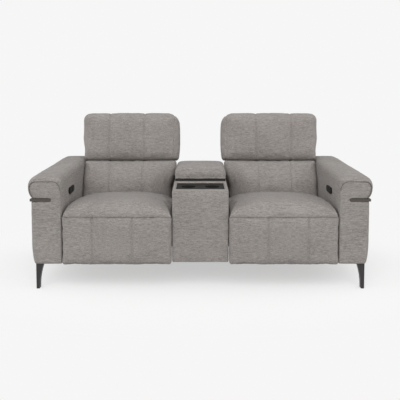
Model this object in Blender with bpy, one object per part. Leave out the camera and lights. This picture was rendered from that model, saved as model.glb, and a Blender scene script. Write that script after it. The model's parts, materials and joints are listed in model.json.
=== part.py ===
# Reclining loveseat with a centre console, two gliding recliners and folding headrests.
# Metres, +Z up, the front faces -Y, origin on the floor at the middle of the footprint.

import math

import bmesh
import bpy
from mathutils import Matrix, Vector

# Overall sizes
WIDTH = 2.000
DEPTH = 0.960
CONSOLE_WIDTH = 0.330
LEG_HEIGHT = 0.150
FIT = 0.0003
SIDE_CLEARANCE = 0.004
WELD = 0.00001
SMOOTH_ANGLE = math.radians(40.0)

# Arms
ARM_WIDTH = 0.175
ARM_SETBACK = 0.010
ARM_REAR_SETBACK = 0.080
ARM_HEIGHT = 0.664
ARM_PAD_THICKNESS = 0.060
ARM_PAD_ROLL = 0.020
ARM_PAD_FLANK = 0.050
ARM_PAD_ROLL_DROP = 0.068
ARM_PAD_INNER_RADIUS = 0.030
ARM_PAD_SHOULDER_SHARE = 0.9
ARM_PAD_UNDERSIDE_SHARE = 0.6
ARM_SIDE_TUCK = 0.020
ARM_TUCK_HEIGHT = 0.145
ARM_FRONT_RADIUS = 0.012
TRIM_HEIGHT = 0.0145
TRIM_PROUD = 0.003
TRIM_FRONT_RUN = 0.120
TRIM_INSET = 0.005

# Legs
LEG_TOP_WIDTH = 0.044
LEG_FOOT_WIDTH = 0.018
LEG_THICKNESS = 0.036
LEG_CURVE = 2.2
LEG_STEPS = 8
LEG_EDGE = 0.021
LEG_SETBACK = 0.036
LEG_REAR_SETBACK = 0.060
SUPPORT_LEG_RADIUS = 0.022
SUPPORT_LEG_SPREAD = 0.100
SUPPORT_LEG_FROM_REAR = 0.115

# Footrest and its linkage
FOOTREST_PAD_THICKNESS = 0.050
FOOTREST_BOARD_THICKNESS = 0.015
FOOTREST_BOARD_INSET = 0.012
FOOTREST_HANG = 0.004
FOOTREST_TOP_RISE = 0.048
CRANK_LENGTH = 0.160
CRANK_REST = math.radians(-78.0)
LINK_LENGTH = 0.165
LINK_REST = math.radians(80.0)
CRANK_AXIS_BEHIND = 0.100
CRANK_AXIS_HEIGHT = 0.345
BAR_HALF_WIDTH = 0.013
BAR_THICKNESS = 0.006
BAR_GAP = 0.0006
BAR_FROM_BAY_SIDE = 0.055
PIN_RADIUS = 0.0045
PIN_CLEARANCE = 0.0005
PIN_HEAD = 0.002
SHAFT_RADIUS = 0.010
GEARMOTOR_WIDTH = 0.110
GEARMOTOR_WALL = 0.010
GEARMOTOR_DROP = 0.023

# Seat
DECK_CLEARANCE = 0.0105
SEAT_BOX_HEIGHT = 0.115
SEAT_BOX_FRONT_GAP = 0.011
SEAT_BOX_REAR = 0.070
SEAT_BOX_SIDE_GAP = 0.008
SEAT_CUSHION_RISE = 0.124
SEAT_CUSHION_REAR_GAP = -0.020
BASE_RAIL_WIDTH = 0.068
BASE_RAIL_HEIGHT = 0.050
BASE_RAIL_LENGTH = 0.600
BASE_RAIL_CRANK_GAP = 0.002

# Back, leaning on its pivot; drawn upright with the pivot at the origin
BACK_PIVOT_FROM_REAR = 0.2163
BACK_PIVOT_HEIGHT = 0.300
BACK_LEAN = math.radians(12.0)
BACK_HEIGHT = 0.3343
BACK_START = 0.050
SHELL_FRONT = 0.030
SHELL_REAR = 0.070
BACK_CUSHION_THICKNESS = 0.170
TONGUE_DROP = 0.030
TONGUE_GAP = 0.0035
TONGUE_INSET = 0.006
PIVOT_ARM_THICKNESS = 0.010
PIVOT_ARM_RADIUS = 0.022
PIVOT_PIN_RADIUS = 0.008
PIVOT_PIN_LENGTH = 0.018
BORE_CLEARANCE = 0.0005

# Headrest
HEADREST_HEIGHT = 0.3355
HEADREST_THICKNESS = 0.245
HEADREST_OVERHANG = 0.020
HEADREST_INNER_REACH = 0.020
HINGE_RADIUS = 0.0055
HINGE_INSET = 0.020
HINGE_END_INSET = 0.076
HINGE_LEAF = 0.040
HINGE_LEAF_THICKNESS = 0.002

# Recline motor
MOTOR_TUBE_RADIUS = 0.016
MOTOR_TUBE_LENGTH = 0.250
MOTOR_BORE_DEPTH = 0.210
MOTOR_AXIS_DROP = 0.065
GEARBOX_LENGTH = 0.055
GEARBOX_WIDTH = 0.070
GEARBOX_HEIGHT = 0.050
ROD_RADIUS = 0.009
ROD_END_GAP = 0.015
ROD_LUG_DISTANCE = 0.075
ROD_LUG_THICKNESS = 0.020
ROD_LUG_HALF_WIDTH = 0.016
ROD_LUG_WALL = 0.008
ROD_TAIL = 0.015

# Console
CONSOLE_SETBACK = 0.035
CONSOLE_REAR_SETBACK = 0.125
CONSOLE_TOP = 0.580
CONSOLE_UNDERSIDE = 0.156
BIN_WALL = 0.045
BIN_FLOOR = 0.115
BIN_LID_LAP = 0.040
TRAY_SETBACK = 0.048
TRAY_DEPTH = 0.232
TRAY_MARGIN = 0.020
TRAY_DECK = 0.008
TRAY_RECESS = 0.008
CUP_RADIUS = 0.044
CUP_WALL = 0.003
CUP_DEPTH = 0.075
CUP_FLOOR = 0.004
LID_SETBACK = 0.300
LID_LENGTH = 0.325
LID_BOARD_THICKNESS = 0.0095
LID_PAD_THICKNESS = 0.084
LID_HINGE_RADIUS = 0.004
LID_HINGE_HALF_LENGTH = 0.120
REAR_PANEL_THICKNESS = 0.030
REAR_PANEL_HEIGHT = 0.170

# Arm controls
CONTROL_LENGTH = 0.130
CONTROL_HEIGHT = 0.040
CONTROL_THICKNESS = 0.008
CONTROL_FROM_FRONT = 0.260
CONTROL_BELOW_TOP = 0.1225
BUTTON_LENGTH = 0.034
BUTTON_HEIGHT = 0.022
BUTTON_SPACING = 0.048
BUTTON_PROUD = 0.0015
BUTTON_TRAVEL = 0.002
BUTTON_CLEARANCE = 0.0004
BUTTON_POCKET = 0.0055

# Upholstery: sewn channels, as shares of a cushion's width from its outer side
CHANNEL_SHARES = (0.28, 0.64)
CHANNEL_DEPTH = 0.010
CHANNEL_HALF_WIDTH = 0.020
CHANNEL_KEEP_OUT = 1.5 * CHANNEL_HALF_WIDTH
CORNER_SHARPNESS = 6
EDGE_LOOP_SHARE = 0.6
SEAT_EDGE = 0.032
SEAT_CROWN = 0.050
SEAT_PINCH = 0.006
FOOTREST_EDGE = 0.019
FOOTREST_CROWN = 0.010
FOOTREST_PINCH = 0.004
BACK_EDGE = 0.035
BACK_CROWN = 0.030
BACK_PINCH = 0.005
HEADREST_EDGE = 0.026
HEADREST_CROWN = 0.030
HEADREST_REAR_CROWN = 0.012
HEADREST_TOP_CROWN = 0.010
HEADREST_INNER_CROWN = 0.014
HEADREST_OUTER_CROWN = 0.002
HEADREST_CORNER = 0.026
LID_EDGE = 0.022
LID_CROWN = 0.014
LID_PINCH = 0.003

# Places worked out from the sizes above
FRONT = -DEPTH / 2
REAR = DEPTH / 2
CONSOLE_SIDE = CONSOLE_WIDTH / 2
SEAT_BAY = WIDTH / 2 - ARM_PAD_ROLL - ARM_WIDTH - CONSOLE_SIDE
ARM_INNER = CONSOLE_SIDE + SEAT_BAY
BAY_CENTRE = CONSOLE_SIDE + SEAT_BAY / 2
BAY_HALF = SEAT_BAY / 2
CUSHION_HALF = BAY_HALF - SIDE_CLEARANCE
BAR_OFFSET = BAY_HALF - BAR_FROM_BAY_SIDE
HINGE_HALF_LENGTH = CUSHION_HALF - HINGE_END_INSET
ARM_FRONT = FRONT + ARM_SETBACK
ARM_REAR = REAR - ARM_REAR_SETBACK
ARM_OUTER = ARM_INNER + ARM_WIDTH
ARM_CORE_TOP = ARM_HEIGHT - ARM_PAD_THICKNESS
ARM_LEDGE = ARM_WIDTH + ARM_PAD_ROLL - ARM_PAD_FLANK
ARM_PAD_BOTTOM = ARM_CORE_TOP - ARM_PAD_ROLL_DROP
ARM_TUCK_TOP = LEG_HEIGHT + ARM_TUCK_HEIGHT
TRIM_BOTTOM = ARM_PAD_BOTTOM - TRIM_HEIGHT - 2 * FIT

BOARD_FACE = FRONT + FOOTREST_PAD_THICKNESS + FIT
BOARD_BACK = BOARD_FACE + FOOTREST_BOARD_THICKNESS


def along(start, length, angle):
    """End of a bar that runs from start towards the front, turned up by angle, in the side view."""
    return (start[0] - length * math.cos(angle), start[1] + length * math.sin(angle))


CRANK_AXIS = (BOARD_FACE + CRANK_AXIS_BEHIND, CRANK_AXIS_HEIGHT)
ELBOW_AXIS = along(CRANK_AXIS, CRANK_LENGTH, CRANK_REST)
BRACKET_AXIS = along(ELBOW_AXIS, LINK_LENGTH, LINK_REST)
HOUSING_TOP = CRANK_AXIS_HEIGHT + SHAFT_RADIUS + GEARMOTOR_WALL
DECK_Z = max(HOUSING_TOP, BRACKET_AXIS[1] + BAR_HALF_WIDTH) + DECK_CLEARANCE
FOOTREST_TOP = DECK_Z + FOOTREST_TOP_RISE
FOOTREST_BOTTOM = LEG_HEIGHT - FOOTREST_HANG
SEAT_BOX_FRONT = CRANK_AXIS[0] + BAR_HALF_WIDTH + SEAT_BOX_FRONT_GAP
SEAT_BOX_BOTTOM = DECK_Z - SEAT_BOX_HEIGHT
RAIL_INNER = BAY_HALF - FIT - BASE_RAIL_WIDTH
TONGUE_HALF = RAIL_INNER - TONGUE_GAP
BACK_PIVOT = (REAR - BACK_PIVOT_FROM_REAR, BACK_PIVOT_HEIGHT)
HINGE_Z = BACK_HEIGHT + FIT + HINGE_RADIUS
HINGE_Y = SHELL_REAR - HINGE_INSET
HEADREST_BOTTOM = HINGE_Z + HINGE_RADIUS + FIT
HEADREST_REAR = SHELL_REAR + HEADREST_OVERHANG
CONSOLE_FRONT = FRONT + CONSOLE_SETBACK
BASE_RAIL_FRONT = CRANK_AXIS[0] + BAR_HALF_WIDTH + BASE_RAIL_CRANK_GAP
BASE_RAIL_REAR = BASE_RAIL_FRONT + BASE_RAIL_LENGTH
CONSOLE_REAR = max(REAR - CONSOLE_REAR_SETBACK, BASE_RAIL_REAR)
REAR_PANEL_FRONT = CONSOLE_REAR + FIT
LID_FRONT = CONSOLE_FRONT + LID_SETBACK
LID_REAR = LID_FRONT + LID_LENGTH
TRAY_FRONT = CONSOLE_FRONT + TRAY_SETBACK
TRAY_REAR = TRAY_FRONT + TRAY_DEPTH
TRAY_HALF = CONSOLE_SIDE - TRAY_MARGIN
TRAY_TOP = CONSOLE_TOP - TRAY_RECESS
TRAY_UNDERSIDE = TRAY_TOP - TRAY_DECK
CUP_X = TRAY_HALF / 2
CUP_Y = (TRAY_FRONT + TRAY_REAR) / 2
CUP_BOTTOM = TRAY_TOP - CUP_DEPTH
MOTOR_Z = SEAT_BOX_BOTTOM - MOTOR_AXIS_DROP
MOTOR_REAR = CONSOLE_REAR
GEARBOX_FRONT = MOTOR_REAR - GEARBOX_LENGTH
TUBE_FRONT = GEARBOX_FRONT - MOTOR_TUBE_LENGTH
BORE_REAR = TUBE_FRONT + MOTOR_BORE_DEPTH
LUG_REAR = TUBE_FRONT - ROD_LUG_DISTANCE
LUG_FRONT = LUG_REAR - ROD_LUG_THICKNESS
CONTROL_Y = ARM_FRONT + CONTROL_FROM_FRONT
CONTROL_Z = ARM_HEIGHT - CONTROL_BELOW_TOP
CONTROL_FACE = ARM_INNER - FIT - CONTROL_THICKNESS


def clear_scene():
    for obj in list(bpy.data.objects):
        bpy.data.objects.remove(obj, do_unlink=True)


def new_collection(name):
    collection = bpy.data.collections.new(name)
    bpy.context.scene.collection.children.link(collection)
    return collection


clear_scene()
PARTS = new_collection("reclining_loveseat")
CUTTERS = new_collection("cutters")


def finish(name, colour, roughness, metallic=0.0):
    material = bpy.data.materials.new(name)
    material.use_nodes = True
    shader = material.node_tree.nodes["Principled BSDF"]
    shader.inputs["Base Color"].default_value = (*colour, 1.0)
    shader.inputs["Roughness"].default_value = roughness
    shader.inputs["Metallic"].default_value = metallic
    return material


FABRIC = finish("grey_linen", (0.27, 0.25, 0.235), 0.95)
TRIM_METAL = finish("gunmetal_trim", (0.10, 0.088, 0.08), 0.38, 1.0)
LEG_METAL = finish("dark_leg_metal", (0.053, 0.05, 0.05), 0.45, 1.0)
STEEL = finish("black_steel", (0.03, 0.03, 0.032), 0.5, 1.0)
BRIGHT_STEEL = finish("bright_steel", (0.55, 0.56, 0.57), 0.3, 1.0)
PLYWOOD = finish("plywood", (0.5, 0.36, 0.22), 0.75)
BLACK_PLASTIC = finish("black_plastic", (0.012, 0.012, 0.012), 0.45)
BUTTON_PLASTIC = finish("button_plastic", (0.06, 0.06, 0.06), 0.4)
TRAY_PLASTIC = finish("tray_plastic", (0.026, 0.024, 0.02), 0.55)


class Anchor:
    """An empty that pieces hang on. drawn_at is its place in the drawing of those pieces, whose X
    runs outwards from the middle of the loveseat or of the bay; side mirrors the drawing."""

    def __init__(self, name, location, side=1, drawn_at=(0, 0, 0), parent=None, lean=0.0):
        self.empty = bpy.data.objects.new(name, None)
        self.side = side
        self.drawn_at = Vector(drawn_at)
        PARTS.objects.link(self.empty)
        self.empty.parent = parent.empty if parent else None
        self.empty.location = location
        self.empty.rotation_euler = (-lean, 0, 0)


def solid(name, bm, anchor, collection, material=None):
    """Puts a shape drawn in an anchor's drawing into the scene, as a child of that anchor."""
    bmesh.ops.translate(bm, verts=bm.verts, vec=-anchor.drawn_at)
    bmesh.ops.scale(bm, verts=bm.verts, vec=(anchor.side, 1, 1))
    bmesh.ops.recalc_face_normals(bm, faces=bm.faces)
    mesh = bpy.data.meshes.new(name)
    bm.to_mesh(mesh)
    bm.free()
    if material:
        mesh.materials.append(material)
    obj = bpy.data.objects.new(name, mesh)
    collection.objects.link(obj)
    obj.parent = anchor.empty
    return obj


def piece(name, bm, anchor, material, smooth=False):
    obj = solid(name, bm, anchor, PARTS, material)
    if smooth:
        obj.data.shade_smooth()
        obj.data.set_sharp_from_angle(angle=SMOOTH_ANGLE)
    return obj


def combine(target, anchor, bm, operation):
    tool = solid(f"{target.name}_tool_{len(target.modifiers)}", bm, anchor, CUTTERS)
    tool.hide_render = True
    tool.display_type = 'WIRE'
    boolean = target.modifiers.new(operation.lower(), 'BOOLEAN')
    boolean.operation = operation
    boolean.solver = 'EXACT'
    boolean.object = tool


def join(target, anchor, bm):
    combine(target, anchor, bm, 'UNION')


def cut(target, anchor, bm):
    combine(target, anchor, bm, 'DIFFERENCE')


def box(low, high):
    bm = bmesh.new()
    bmesh.ops.create_cube(bm, size=1.0)
    low = Vector(low)
    high = Vector(high)
    bmesh.ops.scale(bm, verts=bm.verts, vec=high - low)
    bmesh.ops.translate(bm, verts=bm.verts, vec=(low + high) / 2)
    return bm


def cylinder(start, end, radius, segments=24):
    start = Vector(start)
    end = Vector(end)
    run = end - start
    bm = bmesh.new()
    bmesh.ops.create_cone(bm, cap_ends=True, segments=segments, radius1=radius, radius2=radius,
                          depth=run.length)
    turn = Vector((0, 0, 1)).rotation_difference(run).to_matrix()
    bmesh.ops.rotate(bm, verts=bm.verts, cent=(0, 0, 0), matrix=turn)
    bmesh.ops.translate(bm, verts=bm.verts, vec=(start + end) / 2)
    return bm


FRONT_VIEW = Matrix.Rotation(math.pi / 2, 4, 'X')
SIDE_VIEW = Matrix(((0, 0, 1, 0), (1, 0, 0, 0), (0, 1, 0, 0), (0, 0, 0, 1)))
TOP_VIEW = Matrix.Identity(4)


def outline(points, low, high, view):
    """A flat outline made thick from low to high along the view's own axis (X, Y or Z)."""
    curve = bpy.data.curves.new("outline", 'CURVE')
    curve.dimensions = '2D'
    curve.fill_mode = 'BOTH'
    curve.extrude = (high - low) / 2
    spline = curve.splines.new('POLY')
    spline.points.add(len(points) - 1)
    for point, (across, up) in zip(spline.points, points):
        point.co = (across, up, 0, 1)
    spline.use_cyclic_u = True
    guide = bpy.data.objects.new("outline", curve)
    PARTS.objects.link(guide)
    evaluated = guide.evaluated_get(bpy.context.evaluated_depsgraph_get())
    mesh = bpy.data.meshes.new_from_object(evaluated)
    bpy.data.objects.remove(guide, do_unlink=True)
    bm = bmesh.new()
    bm.from_mesh(mesh)
    bpy.data.meshes.remove(mesh)
    bmesh.ops.remove_doubles(bm, verts=bm.verts, dist=WELD)
    bmesh.ops.transform(bm, verts=bm.verts, matrix=view)
    thickness_axis = view.to_3x3() @ Vector((0, 0, 1))
    shift = (low + high) / 2
    offset = Vector([abs(part) * shift for part in thickness_axis])
    bmesh.ops.translate(bm, verts=bm.verts, vec=offset)
    return bm


def arc(centre, radii, start_degrees, end_degrees, steps):
    points = []
    for step in range(steps + 1):
        angle = math.radians(start_degrees + (end_degrees - start_degrees) * step / steps)
        points.append((centre[0] + radii[0] * math.cos(angle), centre[1] + radii[1] * math.sin(angle)))
    return points


def rounded_bar(start, end, radius, steps=8):
    """Outline of a bar with round ends about start and end, in the side view."""
    heading = math.degrees(math.atan2(end[1] - start[1], end[0] - start[0]))
    far = arc(end, (radius, radius), heading - 90, heading + 90, steps)
    near = arc(start, (radius, radius), heading + 90, heading + 270, steps)
    return far + near


def round_front(bm, y, radius):
    """Rounds the edges around the flat face at y."""
    bm.edges.ensure_lookup_table()
    rim = []
    for edge in bm.edges:
        on_face = all(abs(vert.co.y - y) < FIT / 10 for vert in edge.verts)
        faces_away = any(abs(face.normal.y) < 0.5 for face in edge.link_faces)
        if on_face and faces_away:
            rim.append(edge)
    bmesh.ops.bevel(bm, geom=rim, offset=radius, segments=2, profile=0.5, affect='EDGES')


def swell_share(offset):
    return 1.0 - abs(offset) ** 4


def cushion(low, high, edge, swells, pinches, spans, channels=(), top_corner=0.0):
    """A stuffed block inside low and high. swells gives how far each face (axis, sign) crowns; pinches
    draws the sides across an axis in between the corners of a second axis; channels are sewn lines at
    those X places of the front; top_corner rounds the top's two ends, seen from the front."""
    low = Vector(low)
    high = Vector(high)
    for (axis, sign), amount in swells.items():
        if sign < 0:
            low[axis] += amount
        else:
            high[axis] -= amount
    centre = (low + high) / 2
    half = (high - low) / 2
    bm = box(low, high)
    for axis in range(3):
        reach = half[axis] - edge
        loop = EDGE_LOOP_SHARE * edge
        places = [-reach - loop, -reach, reach, reach + loop]
        places += [-reach + 2 * reach * span / spans[axis] for span in range(1, spans[axis])]
        if axis == 0 and channels:
            for channel in channels:
                here = channel - centre.x
                places = [place for place in places if abs(place - here) > CHANNEL_KEEP_OUT]
                places += [here - CHANNEL_HALF_WIDTH, here, here + CHANNEL_HALF_WIDTH]
        normal = Vector([1.0 if index == axis else 0.0 for index in range(3)])
        for place in places:
            geometry = bm.verts[:] + bm.edges[:] + bm.faces[:]
            bmesh.ops.bisect_plane(bm, geom=geometry, plane_co=centre + normal * place, plane_no=normal,
                                   dist=WELD)
    for vert in bm.verts:
        offset = vert.co - centre
        share = Vector([offset[axis] / half[axis] for axis in range(3)])
        inner = Vector([max(-half[axis] + edge, min(half[axis] - edge, offset[axis])) for axis in range(3)])
        outward = offset - inner
        place = inner + outward.normalized() * edge
        for (axis, sign), amount in swells.items():
            one, two = [other for other in range(3) if other != axis]
            towards = max(0.0, sign * share[axis])
            place[axis] += sign * amount * towards * swell_share(share[one]) * swell_share(share[two])
        for axis, (amount, other) in pinches.items():
            place[axis] -= amount * share[axis] ** 3 * (1.0 - share[other] ** 2)
        for channel in channels:
            nearness = max(0.0, 1.0 - abs(vert.co.x - channel) / CHANNEL_HALF_WIDTH)
            place.y += CHANNEL_DEPTH * nearness * max(0.0, -share.y)
        corner = top_corner * (abs(share.x) * max(0.0, share.z)) ** CORNER_SHARPNESS
        place.x -= math.copysign(corner, share.x)
        place.z -= corner
        vert.co = centre + place
    return bm


def channel_places(inner, outer):
    return [outer - share * (outer - inner) for share in CHANNEL_SHARES]


ROOT = Anchor("loveseat", (0, 0, 0))


def build_arm(prefix, side):
    anchor = Anchor(f"{prefix}_side", (0, 0, 0), side, parent=ROOT)
    ledge = ARM_INNER + ARM_LEDGE
    groove = TRIM_BOTTOM - FIT
    profile = [(ARM_INNER, LEG_HEIGHT), (ARM_INNER, ARM_CORE_TOP), (ledge, ARM_CORE_TOP),
               (ledge, groove), (ARM_OUTER, groove)]
    profile += arc((ARM_OUTER - ARM_SIDE_TUCK, ARM_TUCK_TOP), (ARM_SIDE_TUCK, ARM_TUCK_HEIGHT), 0, -90, 6)
    shape = outline(profile, ARM_FRONT, ARM_REAR, FRONT_VIEW)
    bmesh.ops.recalc_face_normals(shape, faces=shape.faces)
    round_front(shape, ARM_FRONT, ARM_FRONT_RADIUS)
    body = piece(f"{prefix}_arm", shape, anchor, FABRIC)

    trim_outer = ARM_OUTER + TRIM_PROUD
    trim_end = trim_outer - TRIM_FRONT_RUN
    trim_front = ARM_FRONT - TRIM_PROUD
    trim_back = ARM_FRONT + ARM_FRONT_RADIUS + TRIM_INSET
    trim_rear = ARM_REAR - ARM_SETBACK
    groove_low = (trim_end - FIT, ARM_FRONT - ARM_SETBACK, groove)
    cut(body, anchor, box(groove_low, (ledge + FIT, trim_back + FIT, ARM_PAD_BOTTOM)))
    strip = [(trim_end, trim_front), (trim_outer, trim_front), (trim_outer, trim_rear),
             (ledge + FIT, trim_rear), (ledge + FIT, trim_back), (trim_end, trim_back)]
    trim = outline(strip, TRIM_BOTTOM, TRIM_BOTTOM + TRIM_HEIGHT, TOP_VIEW)
    piece(f"{prefix}_arm_trim", trim, anchor, TRIM_METAL)

    roll = ARM_OUTER + ARM_PAD_ROLL
    shoulder = ARM_PAD_THICKNESS * ARM_PAD_SHOULDER_SHARE
    underside = ARM_PAD_FLANK * ARM_PAD_UNDERSIDE_SHARE
    pad_profile = arc((roll - underside, ARM_CORE_TOP), (underside, ARM_PAD_ROLL_DROP), -90, 0, 6)
    pad_profile += arc((roll - shoulder, ARM_CORE_TOP), (shoulder, ARM_PAD_THICKNESS), 0, 90, 7)[1:]
    inner_centre = (ARM_INNER + ARM_PAD_INNER_RADIUS, ARM_HEIGHT - ARM_PAD_INNER_RADIUS)
    pad_profile += arc(inner_centre, (ARM_PAD_INNER_RADIUS, ARM_PAD_INNER_RADIUS), 90, 180, 4)
    pad_base = ARM_CORE_TOP + FIT
    pad_profile += [(ARM_INNER, pad_base), (ledge + FIT, pad_base), (ledge + FIT, ARM_PAD_BOTTOM)]
    pad = outline(pad_profile, ARM_FRONT, ARM_REAR, FRONT_VIEW)
    bmesh.ops.recalc_face_normals(pad, faces=pad.faces)
    round_front(pad, ARM_FRONT, ARM_FRONT_RADIUS)
    piece(f"{prefix}_arm_pad", pad, anchor, FABRIC, smooth=True)

    leg_outer = ARM_OUTER - LEG_EDGE
    leg_top = LEG_HEIGHT - FIT
    leg_profile = [(leg_outer, 0.0), (leg_outer, leg_top)]
    for step in range(LEG_STEPS + 1):
        share = 1 - step / LEG_STEPS
        height = leg_top * share
        width = LEG_FOOT_WIDTH + (LEG_TOP_WIDTH - LEG_FOOT_WIDTH) * share ** LEG_CURVE
        leg_profile.append((leg_outer - width, height))
    for place, start in (("front", ARM_FRONT + LEG_SETBACK - LEG_THICKNESS / 2),
                         ("rear", ARM_REAR - LEG_REAR_SETBACK - LEG_THICKNESS / 2)):
        leg = outline(leg_profile, start, start + LEG_THICKNESS, FRONT_VIEW)
        piece(f"{prefix}_{place}_leg", leg, anchor, LEG_METAL)
    build_controls(prefix, side, anchor)


def pill(y, z, length, height, steps=6):
    radius = height / 2
    reach = length / 2 - radius
    return rounded_bar((y - reach, z), (y + reach, z), radius, steps)


def build_controls(prefix, side, anchor):
    shape = pill(CONTROL_Y, CONTROL_Z, CONTROL_LENGTH, CONTROL_HEIGHT)
    plate = outline(shape, CONTROL_FACE, ARM_INNER - FIT, SIDE_VIEW)
    panel = piece(f"{prefix}_control_panel", plate, anchor, BLACK_PLASTIC, smooth=True)
    for place, sign in (("front", -1), ("rear", 1)):
        y = CONTROL_Y + sign * BUTTON_SPACING / 2
        face = CONTROL_FACE - BUTTON_PROUD
        floor = CONTROL_FACE + BUTTON_POCKET
        back = floor - BUTTON_TRAVEL - FIT
        slack = 2 * BUTTON_CLEARANCE
        pocket = pill(y, CONTROL_Z, BUTTON_LENGTH + slack, BUTTON_HEIGHT + slack)
        cut(panel, anchor, outline(pocket, face, floor, SIDE_VIEW))
        centre = (side * face, y, CONTROL_Z)
        mount = Anchor(f"{prefix}_{place}_button_axis", centre, side, (face, y, CONTROL_Z), ROOT)
        cap = outline(pill(y, CONTROL_Z, BUTTON_LENGTH, BUTTON_HEIGHT), face, back, SIDE_VIEW)
        piece(f"{prefix}_{place}_button", cap, mount, BUTTON_PLASTIC, smooth=True)


def bay_anchor(name, side, point, parent, parent_point=(0, 0)):
    """An anchor in a seat bay at point (y, z); the drawing's X runs outwards from the bay's middle."""
    across = side * BAY_CENTRE if parent is ROOT else 0.0
    location = (across, point[0] - parent_point[0], point[1] - parent_point[1])
    return Anchor(name, location, side, (0, point[0], point[1]), parent)


def build_base(prefix, side):
    bay = bay_anchor(f"{prefix}_bay", side, (0, 0), ROOT)
    rail_top = SEAT_BOX_BOTTOM - FIT
    for place, low in (("outer", RAIL_INNER), ("inner", FIT - BAY_HALF)):
        start = (low, BASE_RAIL_FRONT, rail_top - BASE_RAIL_HEIGHT)
        end = (low + BASE_RAIL_WIDTH, BASE_RAIL_REAR, rail_top)
        piece(f"{prefix}_{place}_base_rail", box(start, end), bay, STEEL)

    half_width = GEARBOX_WIDTH / 2
    half_height = GEARBOX_HEIGHT / 2
    gearbox = box((-half_width, GEARBOX_FRONT, MOTOR_Z - half_height),
                  (half_width, MOTOR_REAR, MOTOR_Z + half_height))
    motor = piece(f"{prefix}_recline_motor", gearbox, bay, BLACK_PLASTIC)
    gearbox_middle = GEARBOX_FRONT + GEARBOX_LENGTH / 2
    join(motor, bay, cylinder((0, TUBE_FRONT, MOTOR_Z), (0, gearbox_middle, MOTOR_Z), MOTOR_TUBE_RADIUS))
    bore_start = (0, TUBE_FRONT - ROD_END_GAP, MOTOR_Z)
    cut(motor, bay, cylinder(bore_start, (0, BORE_REAR, MOTOR_Z), ROD_RADIUS + BORE_CLEARANCE))


def build_seat(prefix, side):
    seat = bay_anchor(f"{prefix}_seat_glide", side, (SEAT_BOX_FRONT, SEAT_BOX_BOTTOM), ROOT)
    half = BAY_HALF - SEAT_BOX_SIDE_GAP
    rear = SEAT_BOX_REAR
    crate = box((-half, SEAT_BOX_FRONT, SEAT_BOX_BOTTOM), (half, rear, DECK_Z))
    carcass = piece(f"{prefix}_seat_box", crate, seat, PLYWOOD)
    arm_low = TONGUE_HALF + TONGUE_GAP / 2
    arm_high = arm_low + PIVOT_ARM_THICKNESS
    arm_middle = (arm_low + arm_high) / 2
    for sign in (-1, 1):
        low, high = sorted((sign * arm_low, sign * arm_high))
        bar = rounded_bar((rear - PIVOT_ARM_RADIUS, BACK_PIVOT[1]), BACK_PIVOT, PIVOT_ARM_RADIUS)
        join(carcass, seat, outline(bar, low, high, SIDE_VIEW))
        pin_start = (sign * arm_middle, *BACK_PIVOT)
        pin_end = (sign * (TONGUE_HALF - PIVOT_PIN_LENGTH), *BACK_PIVOT)
        join(carcass, seat, cylinder(pin_start, pin_end, PIVOT_PIN_RADIUS))
    lug_low = (-ROD_LUG_HALF_WIDTH, LUG_FRONT, MOTOR_Z - ROD_RADIUS - ROD_LUG_WALL)
    join(carcass, seat, box(lug_low, (ROD_LUG_HALF_WIDTH, LUG_REAR, SEAT_BOX_BOTTOM + ROD_LUG_WALL)))
    rod_front = (0, LUG_FRONT - ROD_TAIL, MOTOR_Z)
    cut(carcass, seat, cylinder(rod_front, (0, LUG_REAR + ROD_TAIL, MOTOR_Z), ROD_RADIUS + FIT))
    rod = cylinder(rod_front, (0, BORE_REAR - ROD_END_GAP, MOTOR_Z), ROD_RADIUS)
    piece(f"{prefix}_recline_rod", rod, seat, BRIGHT_STEEL, smooth=True)

    back_face = -(SHELL_FRONT + BACK_CUSHION_THICKNESS)
    lower_edge = BACK_PIVOT[0] + back_face * math.cos(BACK_LEAN) + BACK_START * math.sin(BACK_LEAN)
    cushion_low = (-CUSHION_HALF, BOARD_BACK + FIT * 3, DECK_Z + FIT)
    cushion_high = (CUSHION_HALF, lower_edge - SEAT_CUSHION_REAR_GAP, DECK_Z + SEAT_CUSHION_RISE)
    form = cushion(cushion_low, cushion_high, SEAT_EDGE, {(2, 1): SEAT_CROWN},
                   {0: (SEAT_PINCH, 1), 1: (SEAT_PINCH, 0)}, (6, 6, 1))
    piece(f"{prefix}_seat_cushion", form, seat, FABRIC, smooth=True)

    housing_low = (-GEARMOTOR_WIDTH / 2, CRANK_AXIS[0] - SHAFT_RADIUS - GEARMOTOR_WALL,
                   CRANK_AXIS[1] - SHAFT_RADIUS - GEARMOTOR_DROP)
    housing = box(housing_low, (GEARMOTOR_WIDTH / 2, SEAT_BOX_FRONT - FIT, HOUSING_TOP))
    gearmotor = piece(f"{prefix}_footrest_gearmotor", housing, seat, BLACK_PLASTIC)
    cut(gearmotor, seat, cylinder((-GEARMOTOR_WIDTH, *CRANK_AXIS), (GEARMOTOR_WIDTH, *CRANK_AXIS),
                                  SHAFT_RADIUS + BORE_CLEARANCE))
    build_footrest(prefix, side, seat)
    build_back(prefix, side, seat)


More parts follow.
